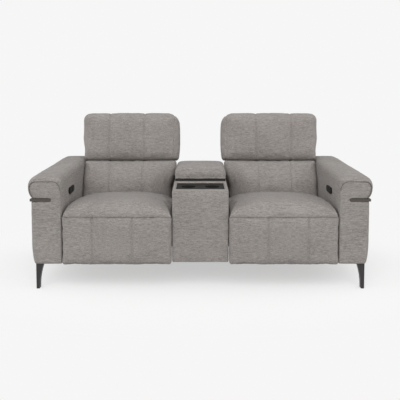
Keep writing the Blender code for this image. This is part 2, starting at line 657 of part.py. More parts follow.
def build_footrest(prefix, side, seat):
    crank = bay_anchor(f"{prefix}_crank_axis", side, CRANK_AXIS, seat, (SEAT_BOX_FRONT, SEAT_BOX_BOTTOM))
    elbow = bay_anchor(f"{prefix}_elbow_axis", side, ELBOW_AXIS, crank, CRANK_AXIS)
    bracket = bay_anchor(f"{prefix}_footrest_axis", side, BRACKET_AXIS, elbow, ELBOW_AXIS)
    inner_low = BAR_OFFSET - BAR_THICKNESS / 2
    inner_high = BAR_OFFSET + BAR_THICKNESS / 2
    outer_low = inner_high + BAR_GAP
    outer_high = outer_low + BAR_THICKNESS
    pin_reach = outer_high + PIN_HEAD
    hole_radius = PIN_RADIUS + PIN_CLEARANCE

    shaft = cylinder((-inner_high, *CRANK_AXIS), (inner_high, *CRANK_AXIS), SHAFT_RADIUS)
    piece(f"{prefix}_footrest_shaft", shaft, crank, BRIGHT_STEEL, smooth=True)
    board_low = (-CUSHION_HALF + SIDE_CLEARANCE, BOARD_FACE, FOOTREST_BOTTOM + FOOTREST_BOARD_INSET)
    board_high = (CUSHION_HALF - SIDE_CLEARANCE, BOARD_BACK, FOOTREST_TOP - FOOTREST_BOARD_INSET)
    board = piece(f"{prefix}_footrest_board", box(board_low, board_high), bracket, PLYWOOD)
    for place, sign in (("inner", -1), ("outer", 1)):
        near = sorted((sign * inner_low, sign * inner_high))
        far = sorted((sign * outer_low, sign * outer_high))
        pin_start = sign * BAR_OFFSET
        pin_end = sign * pin_reach
        bar = outline(rounded_bar(CRANK_AXIS, ELBOW_AXIS, BAR_HALF_WIDTH), *near, SIDE_VIEW)
        crank_bar = piece(f"{prefix}_{place}_crank", bar, crank, STEEL)
        join(crank_bar, crank, cylinder((pin_start, *ELBOW_AXIS), (pin_end, *ELBOW_AXIS), PIN_RADIUS, 16))
        cut(crank_bar, crank, cylinder((sign * (inner_low - PIN_HEAD), *CRANK_AXIS),
                                       (sign * (inner_high + PIN_HEAD), *CRANK_AXIS), SHAFT_RADIUS + FIT))
        bar = outline(rounded_bar(ELBOW_AXIS, BRACKET_AXIS, BAR_HALF_WIDTH), *far, SIDE_VIEW)
        link_bar = piece(f"{prefix}_{place}_link", bar, elbow, STEEL)
        for axis in (ELBOW_AXIS, BRACKET_AXIS):
            hole = cylinder((sign * (outer_low - PIN_HEAD), *axis), (sign * (pin_reach + PIN_HEAD), *axis),
                            hole_radius, 16)
            cut(link_bar, elbow, hole)
        seat_of_bracket = (BOARD_BACK - FOOTREST_BOARD_THICKNESS / 2 + BAR_HALF_WIDTH, BRACKET_AXIS[1])
        ear = outline(rounded_bar(seat_of_bracket, BRACKET_AXIS, BAR_HALF_WIDTH), *near, SIDE_VIEW)
        join(board, bracket, ear)
        join(board, bracket, cylinder((pin_start, *BRACKET_AXIS), (pin_end, *BRACKET_AXIS), PIN_RADIUS, 16))

    pad_low = (-CUSHION_HALF, FRONT, FOOTREST_BOTTOM)
    pad_high = (CUSHION_HALF, BOARD_FACE - FIT, FOOTREST_TOP)
    form = cushion(pad_low, pad_high, FOOTREST_EDGE, {(1, -1): FOOTREST_CROWN},
                   {0: (FOOTREST_PINCH, 2), 2: (FOOTREST_PINCH, 0)}, (5, 1, 4),
                   channel_places(-CUSHION_HALF, CUSHION_HALF))
    piece(f"{prefix}_footrest_pad", form, bracket, FABRIC, smooth=True)


def build_back(prefix, side, seat):
    place = (0, BACK_PIVOT[0] - SEAT_BOX_FRONT, BACK_PIVOT[1] - SEAT_BOX_BOTTOM)
    back = Anchor(f"{prefix}_back_pivot", place, side, parent=seat, lean=BACK_LEAN)
    half = CUSHION_HALF - SIDE_CLEARANCE
    frame = box((-half, -SHELL_FRONT, BACK_START), (half, SHELL_REAR, BACK_HEIGHT))
    shell = piece(f"{prefix}_back_shell", frame, back, FABRIC)
    tongue_low = (-TONGUE_HALF, TONGUE_INSET - SHELL_FRONT, -TONGUE_DROP)
    join(shell, back, box(tongue_low, (TONGUE_HALF, SHELL_REAR - TONGUE_INSET, BACK_START + TONGUE_INSET)))
    for sign in (-1, 1):
        bore_end = sign * (TONGUE_HALF - PIVOT_PIN_LENGTH - BORE_CLEARANCE)
        bore_start = sign * (TONGUE_HALF + TONGUE_GAP)
        cut(shell, back, cylinder((bore_start, 0, 0), (bore_end, 0, 0), PIVOT_PIN_RADIUS + BORE_CLEARANCE))

    face = -(SHELL_FRONT + BACK_CUSHION_THICKNESS)
    top = HEADREST_BOTTOM - FIT
    form = cushion((-CUSHION_HALF, face, BACK_START), (CUSHION_HALF, -SHELL_FRONT - FIT, top), BACK_EDGE,
                   {(1, -1): BACK_CROWN}, {0: (BACK_PINCH, 2)}, (5, 2, 4),
                   channel_places(-CUSHION_HALF, CUSHION_HALF))
    piece(f"{prefix}_back_cushion", form, back, FABRIC, smooth=True)

    leaf_low = (-HINGE_HALF_LENGTH, HINGE_Y - HINGE_LEAF, BACK_HEIGHT + FIT)
    leaf_high = (HINGE_HALF_LENGTH, HINGE_Y, BACK_HEIGHT + FIT + HINGE_LEAF_THICKNESS)
    hinge = piece(f"{prefix}_headrest_hinge", box(leaf_low, leaf_high), back, STEEL)
    reach = HINGE_HALF_LENGTH + HINGE_LEAF_THICKNESS
    join(hinge, back, cylinder((-reach, HINGE_Y, HINGE_Z), (reach, HINGE_Y, HINGE_Z), HINGE_RADIUS))

    fold = Anchor(f"{prefix}_headrest_axis", (0, HINGE_Y, HINGE_Z), side, (0, HINGE_Y, HINGE_Z), back)
    inner = -CUSHION_HALF - HEADREST_INNER_REACH
    head_low = (inner, HEADREST_REAR - HEADREST_THICKNESS, HEADREST_BOTTOM)
    head_high = (CUSHION_HALF, HEADREST_REAR, HEADREST_BOTTOM + HEADREST_HEIGHT)
    swells = {(1, -1): HEADREST_CROWN, (1, 1): HEADREST_REAR_CROWN, (2, 1): HEADREST_TOP_CROWN,
              (0, -1): HEADREST_INNER_CROWN, (0, 1): HEADREST_OUTER_CROWN}
    form = cushion(head_low, head_high, HEADREST_EDGE, swells, {}, (5, 2, 4),
                   channel_places(inner, CUSHION_HALF), HEADREST_CORNER)
    piece(f"{prefix}_headrest", form, fold, FABRIC, smooth=True)


def build_console():
    body = piece("console_body", box((-CONSOLE_SIDE, CONSOLE_FRONT, CONSOLE_UNDERSIDE),
                                     (CONSOLE_SIDE, CONSOLE_REAR, CONSOLE_TOP)), ROOT, FABRIC)
    bin_half = CONSOLE_SIDE - BIN_WALL
    over = CONSOLE_TOP + BIN_WALL
    cut(body, ROOT, box((-bin_half, LID_FRONT + BIN_LID_LAP, CONSOLE_UNDERSIDE + BIN_FLOOR),
                        (bin_half, LID_REAR - BIN_LID_LAP, over)))
    cut(body, ROOT, box((-TRAY_HALF - FIT, TRAY_FRONT - FIT, TRAY_UNDERSIDE - FIT),
                        (TRAY_HALF + FIT, TRAY_REAR + FIT, over)))
    cup_outer = CUP_RADIUS + CUP_WALL
    pocket_margin = 4 * CUP_WALL
    pocket_half = min(TRAY_HALF - CUP_WALL, CUP_X + cup_outer + pocket_margin)
    pocket_reach = cup_outer + pocket_margin
    cut(body, ROOT, box((-pocket_half, CUP_Y - pocket_reach, CUP_BOTTOM - CUP_FLOOR - pocket_margin),
                        (pocket_half, CUP_Y + pocket_reach, TRAY_TOP)))

    deck = box((-TRAY_HALF, TRAY_FRONT, TRAY_UNDERSIDE), (TRAY_HALF, TRAY_REAR, TRAY_TOP))
    tray = piece("cup_tray", deck, ROOT, TRAY_PLASTIC)
    for sign in (-1, 1):
        foot = (sign * CUP_X, CUP_Y, CUP_BOTTOM - CUP_FLOOR)
        rim = (sign * CUP_X, CUP_Y, TRAY_UNDERSIDE + TRAY_DECK / 2)
        join(tray, ROOT, cylinder(foot, rim, cup_outer, 32))
    for sign in (-1, 1):
        floor = (sign * CUP_X, CUP_Y, CUP_BOTTOM)
        cut(tray, ROOT, cylinder(floor, (sign * CUP_X, CUP_Y, over), CUP_RADIUS, 32))

    lid_half = CONSOLE_SIDE - SIDE_CLEARANCE / 2
    board_bottom = CONSOLE_TOP + FIT
    board_top = board_bottom + LID_BOARD_THICKNESS
    hinge_y = LID_REAR + FIT + LID_HINGE_RADIUS
    hinge_z = board_bottom + LID_HINGE_RADIUS
    rod = cylinder((-LID_HINGE_HALF_LENGTH, hinge_y, hinge_z), (LID_HINGE_HALF_LENGTH, hinge_y, hinge_z),
                   LID_HINGE_RADIUS)
    piece("lid_hinge", rod, ROOT, STEEL, smooth=True)
    lid = Anchor("lid_axis", (0, hinge_y, hinge_z), 1, (0, hinge_y, hinge_z), ROOT)
    board_inset = SIDE_CLEARANCE
    board = box((-lid_half + board_inset, LID_FRONT + board_inset, board_bottom),
                (lid_half - board_inset, LID_REAR, board_top))
    piece("console_lid_board", board, lid, PLYWOOD)
    pad_low = (-lid_half, LID_FRONT, board_top + FIT)
    pad_high = (lid_half, LID_REAR, board_top + LID_PAD_THICKNESS)
    form = cushion(pad_low, pad_high, LID_EDGE, {(2, 1): LID_CROWN},
                   {0: (LID_PINCH, 1), 1: (LID_PINCH, 0)}, (4, 5, 1))
    piece("console_lid_pad", form, lid, FABRIC, smooth=True)

    for prefix, sign in (("left", -1), ("right", 1)):
        y = CONSOLE_REAR - SUPPORT_LEG_FROM_REAR
        foot = (sign * SUPPORT_LEG_SPREAD, y, 0.0)
        head = (sign * SUPPORT_LEG_SPREAD, y, CONSOLE_UNDERSIDE - FIT)
        post = cylinder(foot, head, SUPPORT_LEG_RADIUS)
        piece(f"{prefix}_support_leg", post, ROOT, BLACK_PLASTIC, smooth=True)

    rear_low = (FIT - ARM_INNER, REAR_PANEL_FRONT, LEG_HEIGHT)
    rear_high = (ARM_INNER - FIT, REAR_PANEL_FRONT + REAR_PANEL_THICKNESS, LEG_HEIGHT + REAR_PANEL_HEIGHT)
    piece("rear_panel", box(rear_low, rear_high), ROOT, FABRIC)


for name, direction in (("left", -1), ("right", 1)):
    build_arm(name, direction)
    build_base(name, direction)
    build_seat(name, direction)
build_console()
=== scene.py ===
# Reclining loveseat with a console: its upholstery, finishes, studio and camera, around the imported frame.

import json
import math

import bmesh
import bpy
import numpy as np
from mathutils import Matrix, Vector


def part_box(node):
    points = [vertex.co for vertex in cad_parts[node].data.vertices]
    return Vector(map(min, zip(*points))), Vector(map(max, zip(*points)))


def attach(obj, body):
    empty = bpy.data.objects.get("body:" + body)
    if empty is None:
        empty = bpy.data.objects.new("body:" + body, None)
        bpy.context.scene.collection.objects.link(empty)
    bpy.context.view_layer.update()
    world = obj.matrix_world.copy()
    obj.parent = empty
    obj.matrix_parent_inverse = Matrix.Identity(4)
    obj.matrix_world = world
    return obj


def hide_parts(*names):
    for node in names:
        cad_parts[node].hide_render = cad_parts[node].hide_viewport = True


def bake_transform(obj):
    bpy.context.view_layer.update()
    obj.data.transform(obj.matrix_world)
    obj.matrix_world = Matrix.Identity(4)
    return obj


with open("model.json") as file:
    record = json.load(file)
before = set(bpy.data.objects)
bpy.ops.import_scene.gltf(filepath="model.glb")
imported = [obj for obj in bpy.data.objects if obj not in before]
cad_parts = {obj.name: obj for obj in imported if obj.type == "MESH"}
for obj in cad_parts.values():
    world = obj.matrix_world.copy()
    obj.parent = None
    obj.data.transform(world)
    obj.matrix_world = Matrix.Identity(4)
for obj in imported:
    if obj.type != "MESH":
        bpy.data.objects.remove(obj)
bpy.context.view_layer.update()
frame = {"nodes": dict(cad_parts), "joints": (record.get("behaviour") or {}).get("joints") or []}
nodes = frame["nodes"]
scene = bpy.context.scene

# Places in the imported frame, in metres
joints = {joint["name"]: joint for joint in frame["joints"]}
BAY_CENTRE, PIVOT_Y, PIVOT_Z = joints["right_back_tilt"]["pos_m"]
BACK_LEAN = math.radians(12.0)
SIDES = (("left", -1), ("right", 1))
SNUG = 0.0012  # the gap that covers keep from what they slide past
ARM_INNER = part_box("right_arm")[0].x
BAY_SIDE = ARM_INNER - BAY_CENTRE - SNUG

# Upholstery: the sewn channels, as shares of a cushion's width from its outer side
CHANNEL_SHARES = (0.28, 0.64)

# The joint between footrest and seat, which rises towards the front, where the footrest swings out
CREST_SETBACK = 0.010
CREST_SLOPE = 0.43


# Finishes

class Shade:
    """A value that changes over a surface. Sums, differences and products of shades add Math nodes."""

    def __init__(self, finish, socket):
        self.finish = finish
        self.socket = socket

    def math(self, operation, first, second):
        return self.finish.make('ShaderNodeMath', {"operation": operation}, {0: first, 1: second})

    def __add__(self, other):
        return self.math('ADD', self, other)

    def __radd__(self, other):
        return self.math('ADD', other, self)

    def __sub__(self, other):
        return self.math('SUBTRACT', self, other)

    def __rsub__(self, other):
        return self.math('SUBTRACT', other, self)

    def __mul__(self, other):
        return self.math('MULTIPLY', self, other)

    def __rmul__(self, other):
        return self.math('MULTIPLY', other, self)

    def __abs__(self):
        return self.finish.make('ShaderNodeMath', {"operation": 'ABSOLUTE'}, {0: self})

    def between(self, low, high):
        """0 under low, 1 over high, smooth in between."""
        return self.finish.make('ShaderNodeMapRange', {"interpolation_type": 'SMOOTHSTEP'},
                                {"Value": self, "From Min": low, "From Max": high})


class Finish:
    """A material or world: constants are set on its shader's own sockets, and what varies is fed in."""

    def __init__(self, owner, constants, shader="Principled BSDF"):
        self.owner = owner
        owner.use_nodes = True
        self.tree = owner.node_tree
        self.shader = self.tree.nodes[shader]
        for word, value in constants.items():
            self.shader.inputs[word].default_value = value

    def make(self, kind, settings=None, sockets=None, output=0):
        """Adds one node: its settings first, then the values or links of its sockets."""
        node = self.tree.nodes.new(kind)
        for word, value in (settings or {}).items():
            setattr(node, word, value)
        for word, value in (sockets or {}).items():
            if isinstance(value, Shade):
                self.tree.links.new(value.socket, node.inputs[word])
            else:
                node.inputs[word].default_value = value
        return Shade(self, node.outputs[output])

    def feed(self, word, shade):
        self.tree.links.new(shade.socket, self.shader.inputs[word])

    def lit(self):
        return Shade(self, self.shader.outputs[0])

    def mixed(self, share, first, second):
        return self.make('ShaderNodeMixShader', sockets={0: share, 1: first, 2: second})

    def show(self, shade, output="Material Output"):
        self.tree.links.new(shade.socket, self.tree.nodes[output].inputs["Surface"])

    def place(self):
        return self.make('ShaderNodeTexCoord', output="Object")

    def facing(self):
        return self.make('ShaderNodeTexCoord', output="Normal")

    def part(self, vector, axis):
        return self.make('ShaderNodeSeparateXYZ', sockets={0: vector}, output=axis)

    def stretch(self, vector, scale):
        return self.make('ShaderNodeVectorMath', {"operation": 'MULTIPLY'}, {0: vector, 1: scale})

    def noise(self, vector, scale=1.0, detail=2.0, roughness=0.5):
        return self.make('ShaderNodeTexNoise', {"noise_dimensions": '3D'},
                         {"Vector": vector, "Scale": scale, "Detail": detail, "Roughness": roughness})

    def tint(self, share, low, high):
        return self.layer(share, (*low, 1), high)

    def layer(self, share, under, colour):
        return self.make('ShaderNodeMix', {"data_type": 'RGBA'}, {0: share, 6: under, 7: (*colour, 1)}, 2)

    def bump(self, height, distance, strength):
        self.feed("Normal", self.make('ShaderNodeBump', sockets={"Height": height, "Distance": distance,
                                                                 "Strength": strength}))


def material(name, constants):
    return Finish(bpy.data.materials.new(name), constants)


def shades(colour, share):
    return [share * part for part in colour]


def linen(name, colour):
    """Heathered cloth: short crosswise slubs, two yarn tones, a plain weave with painted shade between its
    threads, and a little nap.
    """
    cloth = material(name, {"Specular IOR Level": 0.15, "Sheen Weight": 0.10, "Sheen Roughness": 0.6})
    place = cloth.place()
    x, y, z = [cloth.part(place, axis) for axis in range(3)]
    turned = cloth.make('ShaderNodeCombineXYZ', sockets={0: y, 1: x, 2: z})
    sideways = abs(cloth.part(cloth.facing(), 0)).between(0.62, 0.8)
    grain = cloth.make('ShaderNodeMix', {"data_type": 'VECTOR'}, {0: sideways, 4: place, 5: turned}, 1)
    slub = cloth.noise(cloth.stretch(grain, (42, 250, 250)), detail=3.0, roughness=0.66)
    streak = cloth.noise(cloth.stretch(grain, (9, 120, 120)), detail=2.0)
    yarn = cloth.noise(cloth.stretch(grain, (130, 380, 380)), detail=2.0, roughness=0.6)
    cloud = cloth.noise(place, scale=6.0, detail=2.0)
    warp = cloth.make('ShaderNodeTexWave', {"bands_direction": 'X'}, {"Vector": grain, "Scale": 190.0})
    weft = cloth.make('ShaderNodeTexWave', {"bands_direction": 'Z'}, {"Vector": grain, "Scale": 190.0})
    weave = warp * weft
    heather = (0.46 * slub + 0.10 * streak + 0.36 * yarn + 0.08 * cloud).between(0.37, 0.63)
    base = cloth.tint(heather, shades(colour, 0.68), shades(colour, 1.32))
    # Painted shade: the recesses between the woven threads are darkened in the colour.
    painted_weave_shade = 0.14 * (1 - weave).between(0.55, 1.0)
    cloth.feed("Base Color", cloth.layer(painted_weave_shade, base, shades(colour, 0.45)))
    cloth.feed("Roughness", 0.86 + 0.12 * yarn)
    cloth.bump(0.5 * weave + 0.3 * slub + 0.2 * yarn, distance=0.0011, strength=0.4)
    return cloth.owner


def metal(name, colour, roughness, brush, wear):
    """Painted or brushed metal with fine drawn lines and paler, rubbed patches."""
    plate = material(name, {"Metallic": 0.85})
    place = plate.place()
    lines = plate.noise(plate.stretch(place, brush), detail=4.0, roughness=0.65)
    patches = plate.noise(place, scale=26.0, detail=5.0, roughness=0.6).between(0.52, 0.78)
    drawn = plate.tint(lines, shades(colour, 0.85), shades(colour, 1.15))
    plate.feed("Base Color", plate.layer(wear * patches, drawn, shades(colour, 1.7)))
    plate.feed("Roughness", roughness - 0.08 + 0.16 * (0.7 * lines + 0.3 * patches))
    plate.bump(lines, distance=0.0003, strength=0.15)
    return plate.owner


def plastic(name, colour, roughness, grain):
    """Moulded plastic with a fine spark-eroded grain and faint handling marks."""
    shell = material(name, {"Specular IOR Level": 0.2})
    place = shell.place()
    pits = shell.noise(place, scale=grain, detail=2.0, roughness=0.55)
    marks = shell.noise(shell.stretch(place, (40, 40, 9)), detail=4.0).between(0.55, 0.8)
    moulded = shell.tint(pits, shades(colour, 0.85), shades(colour, 1.15))
    handled = [part + 0.004 for part in shades(colour, 1.6)]
    shell.feed("Base Color", shell.layer(0.3 * marks, moulded, handled))
    shell.feed("Roughness", roughness + 0.14 * marks - 0.08 * pits)
    shell.bump(pits, distance=0.0004, strength=0.25)
    return shell.owner


def veneer(name):
    """Birch plywood: long pale grain, darker growth lines and a few pores."""
    board = material(name, {"Specular IOR Level": 0.3})
    place = board.place()
    wander = board.noise(board.stretch(place, (2, 9, 9)), detail=3.0)
    rings = board.noise(board.stretch(place, (3, 60, 60)), detail=3.0, roughness=0.6)
    pores = board.noise(board.stretch(place, (40, 700, 700)), detail=1.0).between(0.62, 0.75)
    share = (0.6 * rings + 0.4 * wander).between(0.3, 0.7)
    grain = board.tint(share, (0.42, 0.28, 0.15), (0.60, 0.44, 0.27))
    board.feed("Base Color", board.layer(0.4 * pores, grain, (0.25, 0.15, 0.08)))
    board.feed("Roughness", 0.62 + 0.2 * rings)
    board.bump(rings - 0.5 * pores, distance=0.0006, strength=0.2)
    return board.owner


def dust_cloth(name):
    """The dark bonded-fibre cloth that covers the undersides of boards; on the lid's board its dark edge is
    also painted shade, the shadow gap under the lid.
    """
    felt = material(name, {"Roughness": 0.98, "Specular IOR Level": 0.1})
    place = felt.place()
    fibre = felt.noise(place, scale=420.0, detail=4.0, roughness=0.7)
    cells = felt.make('ShaderNodeTexVoronoi', {"feature": 'F1'}, {"Vector": place, "Scale": 300.0})
    dots = cells.between(0.1, 0.5)
    mottle = 0.6 * fibre + 0.4 * dots
    felt.feed("Base Color", felt.tint(mottle, (0.012, 0.012, 0.012), (0.05, 0.05, 0.048)))
    felt.bump(fibre + 0.5 * dots, distance=0.0006, strength=0.4)
    return felt.owner


LINEN = linen("grey_linen", (0.279, 0.257, 0.241))
# The welt's darker cloth is painted shade: the thin shadow line along the seam round each arm's front cap.
SHADED_WELT_LINEN = linen("welt_linen", (0.150, 0.137, 0.127))
TRIM_METAL = metal("gunmetal_trim", (0.105, 0.092, 0.083), roughness=0.42, brush=(18, 18, 900), wear=0.25)
LEG_METAL = metal("dark_leg_metal", (0.055, 0.052, 0.052), roughness=0.46, brush=(500, 500, 14), wear=0.2)
BLACK_STEEL = metal("black_steel", (0.035, 0.035, 0.037), roughness=0.5, brush=(60, 60, 60), wear=0.35)
BRIGHT_STEEL = metal("bright_steel", (0.52, 0.53, 0.54), roughness=0.3, brush=(900, 30, 900), wear=0.15)
PLYWOOD = veneer("birch_plywood")
BLACK_PLASTIC = plastic("black_plastic", (0.008, 0.008, 0.008), roughness=0.50, grain=900.0)
BUTTON_PLASTIC = plastic("button_plastic", (0.020, 0.019, 0.018), roughness=0.45, grain=1100.0)
TRAY_PLASTIC = plastic("tray_plastic", (0.016, 0.015, 0.013), roughness=0.70, grain=800.0)
UNDERSIDE_CLOTH_AND_SHADE = dust_cloth("underside_cloth")


# Shaping

WELD_DISTANCE = 0.00001


def triples(items, word):
    flat = np.empty(len(items) * 3, np.float32)
    items.foreach_get(word, flat)
    return flat.reshape(-1, 3).astype(float)


def points_of(mesh):
    return triples(mesh.vertices, "co")


def normals_of(mesh):
    return triples(mesh.vertex_normals, "vector")


def set_points(mesh, points):
    mesh.vertices.foreach_set("co", points.astype(np.float32).ravel())
    mesh.update()


def changed(mesh, kind, **settings):
    """The mesh as one modifier leaves it."""
    blank = bpy.data.objects.new("blank", mesh)
    scene.collection.objects.link(blank)
    change = blank.modifiers.new("change", kind)
    for word, value in settings.items():
        setattr(change, word, value)
    shaped = bpy.data.meshes.new_from_object(blank.evaluated_get(bpy.context.evaluated_depsgraph_get()))
    bpy.data.objects.remove(blank)
    return shaped


def even(mesh, voxel):
    return changed(mesh, 'REMESH', mode='VOXEL', voxel_size=voxel)


def finer(mesh):
    return changed(mesh, 'SUBSURF', levels=1, render_levels=1)


def eased(mesh, rounds):
    return changed(mesh, 'SMOOTH', iterations=rounds, factor=0.5)


def mesh_from(bm, name):
    """The finished mesh of a bmesh, which is freed."""
    mesh = bpy.data.meshes.new(name)
    bm.to_mesh(mesh)
    bm.free()
    return mesh


def block(low, high):
    bm = bmesh.new()
    bmesh.ops.create_cube(bm, size=1.0)
    bmesh.ops.scale(bm, verts=bm.verts, vec=Vector(high) - Vector(low))
    bmesh.ops.translate(bm, verts=bm.verts, vec=(Vector(low) + Vector(high)) / 2)
    return mesh_from(bm, "block")


def joined(*meshes):
    bm = bmesh.new()
    for mesh in meshes:
        bm.from_mesh(mesh)
    return mesh_from(bm, "joined")


def mirrored(mesh):
    twin = mesh.copy()
    set_points(twin, points_of(twin) * (-1, 1, 1))
    twin.flip_normals()
    return twin


def ripple(points, pitch, seed):
    """A gentle unevenness from -1 to 1, the same in every run."""
    total = np.zeros(len(points))
    for turn, heading in enumerate(((1.0, 0.63, 0.41), (-0.52, 1.13, 0.77), (0.37, -0.81, 1.29))):
        phase = points @ np.array(heading) * math.tau / pitch * (1 + 0.31 * turn)
        total += np.sin(phase + seed * (1.7 + turn))
    return total / 3


def ramp(values, start, end):
    """0 at start and before, 1 at end and past it, smooth in between."""
    share = np.clip((values - start) / (end - start), 0, 1)
    return share * share * (3 - 2 * share)


def pressed(values, limit, share):
    """Brings values up to a limit by a share of what they lack, so that no two points fall together."""
    return values + share * np.maximum(limit - values, 0)


def stuffed(low, high, rounds, crowns, voxel, pinches=(), fullness=2.6):
    """An even mesh of a stuffed block. rounds holds the radii of the low and high edges along each axis,
    crowns how far a face (axis, sign) stands out, pinches how far an axis draws in along another."""
    low = np.array(low, float)
    high = np.array(high, float)
    rounds = np.array(rounds, float)
    for (axis, sign), amount in crowns.items():
        if sign < 0:
            low[axis] += amount
        else:
            high[axis] -= amount
    mesh = even(block(low, high), voxel)
    half = (high - low) / 2
    offset = points_of(mesh) - (low + high) / 2
    share = np.clip(offset / half, -1, 1)
    radius = np.where(offset < 0, rounds[:, 0], rounds[:, 1])
    inner = np.clip(offset, rounds[:, 0] - half, half - rounds[:, 1])
    outward = (offset - inner) / radius
    length = np.maximum(np.linalg.norm(outward, axis=1, keepdims=True), 1e-6)
    place = inner + outward / length * radius
    for (axis, sign), amount in crowns.items():
        one, two = [other for other in range(3) if other != axis]
        lift = (1 - abs(share[:, one]) ** fullness) * (1 - abs(share[:, two]) ** fullness)
        place[:, axis] += sign * amount * np.maximum(0, sign * share[:, axis]) * lift
    for axis, amount, other in pinches:
        place[:, axis] -= amount * share[:, axis] ** 3 * (1 - share[:, other] ** 2)
    set_points(mesh, place + (low + high) / 2)
    return mesh


def puffed(mesh, held, pressure, reach):
    """Fills a cover with air as a cloth, held at the given points, and keeps it near its pattern."""
    steps = 20
    cover = bpy.data.objects.new("cover", mesh)
    scene.collection.objects.link(cover)
    cover.vertex_groups.new(name="held").add([int(index) for index in np.nonzero(held)[0]], 1.0, 'REPLACE')
    cloth = cover.modifiers.new("stuffing", 'CLOTH')
    cloth.collision_settings.use_collision = False
    filling = cloth.settings
    filling.use_pressure = True
    filling.uniform_pressure_force = pressure
    filling.effector_weights.gravity = 0.0
    filling.quality = 4
    filling.mass = 0.25
    filling.tension_stiffness = 25.0
    filling.compression_stiffness = 25.0
    filling.shear_stiffness = 12.0
    filling.bending_stiffness = 1.5
    filling.shrink_min = -0.012
    filling.vertex_group_mass = "held"
    for step in range(1, steps + 1):
        scene.frame_set(step)
    start = points_of(mesh)
    settled = cover.evaluated_get(bpy.context.evaluated_depsgraph_get()).to_mesh()
    move = points_of(settled) - start
    bpy.data.objects.remove(cover)
    scene.frame_set(1)
    length = np.maximum(np.linalg.norm(move, axis=1, keepdims=True), 1e-9)
    set_points(mesh, start + move * np.minimum(1, reach / length))
    return mesh


def sewn(mesh, seams, seed):
    """Draws the cover in along its seams. Each seam gives the distance of points from it, how much each
    point takes part, and the groove's depth and width; small puckers run out of it into the panels."""
    unevenness = 0.0006
    pucker_depth = 0.0011
    points = points_of(mesh)
    normals = normals_of(mesh)
    depth = unevenness * ripple(points, pitch=0.11, seed=seed)
    for distance, share, groove, width in seams:
        away = abs(distance(points))
        taking = share(points, normals)
        pucker = 1 + 0.35 * ripple(points, pitch=0.035, seed=seed + 3)
        depth += taking * groove * np.exp(-(away / width) ** 2)
        depth += taking * pucker_depth * pucker * np.exp(-(away / (6 * width)) ** 2)
    set_points(mesh, points - normals * depth[:, None])
    return mesh


def clear_of(mesh, axis, low=None, high=None):
    """Presses the cover flat where it would pass a neighbour."""
    points = points_of(mesh)
    points[:, axis] = np.clip(points[:, axis], low, high)
    set_points(mesh, points)
    return mesh


def cleaned(mesh):
    """Takes out the faces that a cover's pressing flat has left without any area."""
    speck = 0.00002
    bm = bmesh.new()
    bm.from_mesh(mesh)
    bmesh.ops.remove_doubles(bm, verts=bm.verts, dist=speck)
    bmesh.ops.dissolve_degenerate(bm, edges=bm.edges, dist=speck)
    bm.to_mesh(mesh)
    bm.free()
    return mesh


def shown(name, mesh, finish):
    """Puts an upholstery piece into the scene."""
    obj = bpy.data.objects.new(name, mesh)
    scene.collection.objects.link(obj)
    mesh.materials.clear()
    mesh.materials.append(finish)
    mesh.shade_smooth()
    return obj


def piece(name, mesh, body, replaced=(), finish=LINEN):
    """An upholstery piece that rides on a body. It may stand for frame nodes, which it hides."""
    obj = shown(name, mesh, finish)
    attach(obj, body)
    if replaced:
        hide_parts(*replaced)


def in_bay(side):
    """Places a drawing about the middle of a seat's bay."""
    return Matrix.Translation((side * BAY_CENTRE, 0, 0))


def on_back(side):
    """Places a drawing about the back's pivot, with the back upright in it."""
    return in_bay(side) @ Matrix.Translation((0, PIVOT_Y, PIVOT_Z)) @ Matrix.Rotation(-BACK_LEAN, 4, 'X')


def span(node, place):
    """The corners of a right-hand frame node, seen in the drawing that place puts into the scene."""
    mesh = nodes[f"right_{node}"].data.copy()
    mesh.transform(place(1).inverted())
    points = points_of(mesh)
    return points.min(0), points.max(0)


def drawn_for(side, mesh):
    """The mesh as drawn for the right side, or its mirror image for the left one."""
    return mesh.copy() if side > 0 else mirrored(mesh)


def pair(word, mesh, body, node, place):
    """One cover for the right seat, as drawn, and its twin for the left one."""
    for name, side in SIDES:
        cover = drawn_for(side, mesh)
        cover.transform(place(side))
        piece(f"{name}_{word}", cover, f"{name}_{body}", [f"{name}_{node}"])


def channels(inner, outer):
    return [outer - share * (outer - inner) for share in CHANNEL_SHARES]


def on_lines(points, lines, rear):
    """The points along sewn lines, from the front as far back as rear."""
    half_width = 0.005
    near = np.zeros(len(points), bool)
    for line in lines:
        near |= abs(points[:, 0] - line) < half_width
    return near & (points[:, 1] < rear)


def front_and_top(points, normals):
    return np.clip(np.maximum(-1.6 * normals[:, 1], 0.7 * normals[:, 2]), 0, 1)


def front_only(points, normals):
    return np.clip(-1.5 * normals[:, 1], 0, 1)


def rear_only(points, normals):
    return np.clip(1.5 * normals[:, 1], 0, 1)


def everywhere(points, normals):
    return np.ones(len(points))


def line_at(axis, place):
    return lambda points: points[:, axis] - place


def seams_at(lines, share, groove):
    """Seams down a cushion along X places, with a groove of (depth, width)."""
    return [(line_at(0, line), share, *groove) for line in lines]


# Grooves of the sewn channels and seams: depth and width
DEEP_CHANNEL = (0.0050, 0.0045)
FLAT_CHANNEL = (0.0040, 0.0045)
GUSSET_SEAM = (0.0030, 0.0040)
LID_SEAM = (0.0018, 0.0030)
ARM_SEAM = (0.0020, 0.0035)
CONSOLE_SEAM = (0.0024, 0.0032)
REAR_SEAM = (0.0028, 0.0040)


# Cushions of the right seat, drawn about the middle of its bay with X outwards

